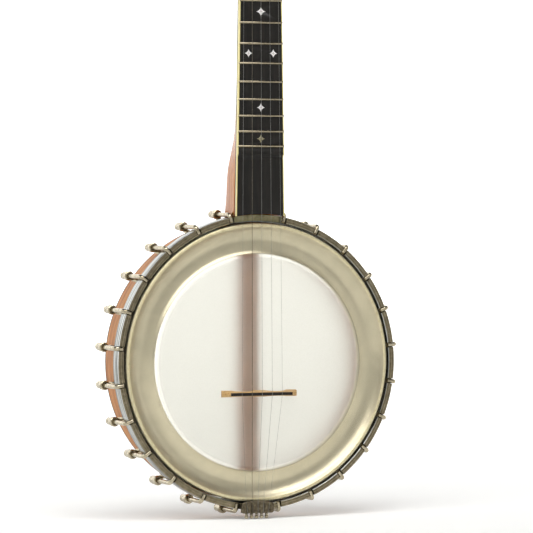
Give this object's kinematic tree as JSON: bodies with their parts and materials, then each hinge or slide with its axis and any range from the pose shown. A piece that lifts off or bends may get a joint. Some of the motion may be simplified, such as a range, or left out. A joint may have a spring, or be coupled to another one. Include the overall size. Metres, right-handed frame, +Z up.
{
  "type": "banjo",
  "caption": "Open-back banjo with a long neck, wooden rim, metal tone ring, frosted head, tension hoop on hooks and shoes, maple bridge, tailpiece and geared tuners that turn.",
  "frame": {"origin": "on the pot's axis, in the plane of the wooden rim's back edge", "axes": "+Z up the neck, +Y out of the back of the pot (so the head faces -Y), +X towards the first-string side"},
  "size_m": [0.3094, 0.0841, 0.9452],
  "materials": {
    "rim_maple": "lacquered maple stained cherry red-brown, gloss",
    "cap_wood": "dark-stained hardwood cap, satin",
    "ring_brass": "aged nickel-plated bell bronze, champagne tint, satin",
    "head_film": "frosted translucent polyester film",
    "nickel": "aged nickel plate, soft shine",
    "nickel_dark": "tarnished nickel plate",
    "steel": "plain steel",
    "stick_maple": "clear lacquered maple",
    "neck_wood": "cherry red-brown stained, gloss lacquer",
    "veneer": "black dyed veneer",
    "ebony": "oiled ebony",
    "ivoroid": "aged cream plastic",
    "fret_wire": "polished nickel silver",
    "pearl": "mother of pearl",
    "bone": "polished bone",
    "bridge_maple": "bare maple, satin",
    "string_steel": "plain steel wire",
    "string_wound": "nickel-wound steel wire"
  },
  "bodies": {
    "banjo": {"rim": "rim_maple", "rim_cap": "cap_wood", "tone_ring": "ring_brass", "drum_head": "head_film", "flesh_hoop": "steel", "tension_hoop": "nickel_dark", "bracket_hooks": "nickel", "hook_nuts": "nickel", "bracket_shoes": "nickel", "shoe_washers": "steel", "shoe_bolts": "steel", "dowel_stick": "stick_maple", "neck_brace": "nickel", "neck_brace_screws": "steel", "neck_brace_jack": "steel", "tailpiece_hanger": "nickel_dark", "tailpiece": "nickel_dark", "tailpiece_pins": "nickel", "end_bolt": "steel", "end_bolt_washer": "steel", "bridge": "bridge_maple", "bridge_strip": "ebony", "neck": "neck_wood", "heel_cap": "cap_wood", "truss_rod": "steel", "fretboard": "ebony", "fretboard_binding": "ivoroid", "board_veneer": "veneer", "frets": "fret_wire", "position_inlays": "pearl", "string_nut": "bone", "fifth_string_pip": "bone", "peghead_overlay": "ebony", "truss_rod_cover": "ebony", "tuner_housings": "nickel", "tuner_bushing_nuts": "nickel", "fifth_peg_housing": "nickel", "string_1": "string_steel", "string_2": "string_steel", "string_3": "string_steel", "string_4": "string_wound", "string_5": "string_steel"},
    "tuner_1_knob": {"tuner_shaft_1": "nickel", "tuner_button_1": "ivoroid"},
    "tuner_1_spool": {"tuner_post_1": "nickel", "planet_wheels_1": "steel"},
    "tuner_2_knob": {"tuner_shaft_2": "nickel", "tuner_button_2": "ivoroid"},
    "tuner_2_spool": {"tuner_post_2": "nickel", "planet_wheels_2": "steel"},
    "tuner_3_knob": {"tuner_shaft_3": "nickel", "tuner_button_3": "ivoroid"},
    "tuner_3_spool": {"tuner_post_3": "nickel", "planet_wheels_3": "steel"},
    "tuner_4_knob": {"tuner_shaft_4": "nickel", "tuner_button_4": "ivoroid"},
    "tuner_4_spool": {"tuner_post_4": "nickel", "planet_wheels_4": "steel"},
    "fifth_peg_knob": {"fifth_peg_button": "ivoroid"},
    "fifth_peg_spool": {"fifth_peg_post": "nickel"}
  },
  "joints": [
    {"name": "tuner_1_button_turn", "type": "hinge", "parent": "banjo", "child": "tuner_1_knob", "pos_m": [0.02315, -0.0583, 0.67727], "axis": [0, -0.9744, 0.225], "continuous": true},
    {"name": "tuner_1_post_turn", "type": "hinge", "parent": "banjo", "child": "tuner_1_spool", "pos_m": [0.02315, -0.0583, 0.67727], "axis": [0, -0.9744, 0.225], "continuous": true},
    {"name": "tuner_2_button_turn", "type": "hinge", "parent": "banjo", "child": "tuner_2_knob", "pos_m": [0.02115, -0.04616, 0.72989], "axis": [0, -0.9744, 0.225], "continuous": true},
    {"name": "tuner_2_post_turn", "type": "hinge", "parent": "banjo", "child": "tuner_2_spool", "pos_m": [0.02115, -0.04616, 0.72989], "axis": [0, -0.9744, 0.225], "continuous": true},
    {"name": "tuner_3_button_turn", "type": "hinge", "parent": "banjo", "child": "tuner_3_knob", "pos_m": [-0.01585, -0.04616, 0.72989], "axis": [0, -0.9744, 0.225], "continuous": true},
    {"name": "tuner_3_post_turn", "type": "hinge", "parent": "banjo", "child": "tuner_3_spool", "pos_m": [-0.01585, -0.04616, 0.72989], "axis": [0, -0.9744, 0.225], "continuous": true},
    {"name": "tuner_4_button_turn", "type": "hinge", "parent": "banjo", "child": "tuner_4_knob", "pos_m": [-0.01785, -0.0583, 0.67727], "axis": [0, -0.9744, 0.225], "continuous": true},
    {"name": "tuner_4_post_turn", "type": "hinge", "parent": "banjo", "child": "tuner_4_spool", "pos_m": [-0.01785, -0.0583, 0.67727], "axis": [0, -0.9744, 0.225], "continuous": true},
    {"name": "fifth_peg_button_turn", "type": "hinge", "parent": "banjo", "child": "fifth_peg_knob", "pos_m": [-0.022, -0.0612, 0.48274], "axis": [-1, 0, 0], "continuous": true},
    {"name": "fifth_peg_post_turn", "type": "hinge", "parent": "banjo", "child": "fifth_peg_spool", "pos_m": [-0.022, -0.0612, 0.48274], "axis": [-1, 0, 0], "continuous": true}
  ],
  "couplings": [
    {"joint": "tuner_1_post_turn", "follows": "tuner_1_button_turn", "ratio": 0.25},
    {"joint": "tuner_2_post_turn", "follows": "tuner_2_button_turn", "ratio": 0.25},
    {"joint": "tuner_3_post_turn", "follows": "tuner_3_button_turn", "ratio": 0.25},
    {"joint": "tuner_4_post_turn", "follows": "tuner_4_button_turn", "ratio": 0.25},
    {"joint": "fifth_peg_post_turn", "follows": "fifth_peg_button_turn", "ratio": 0.25}
  ]
}
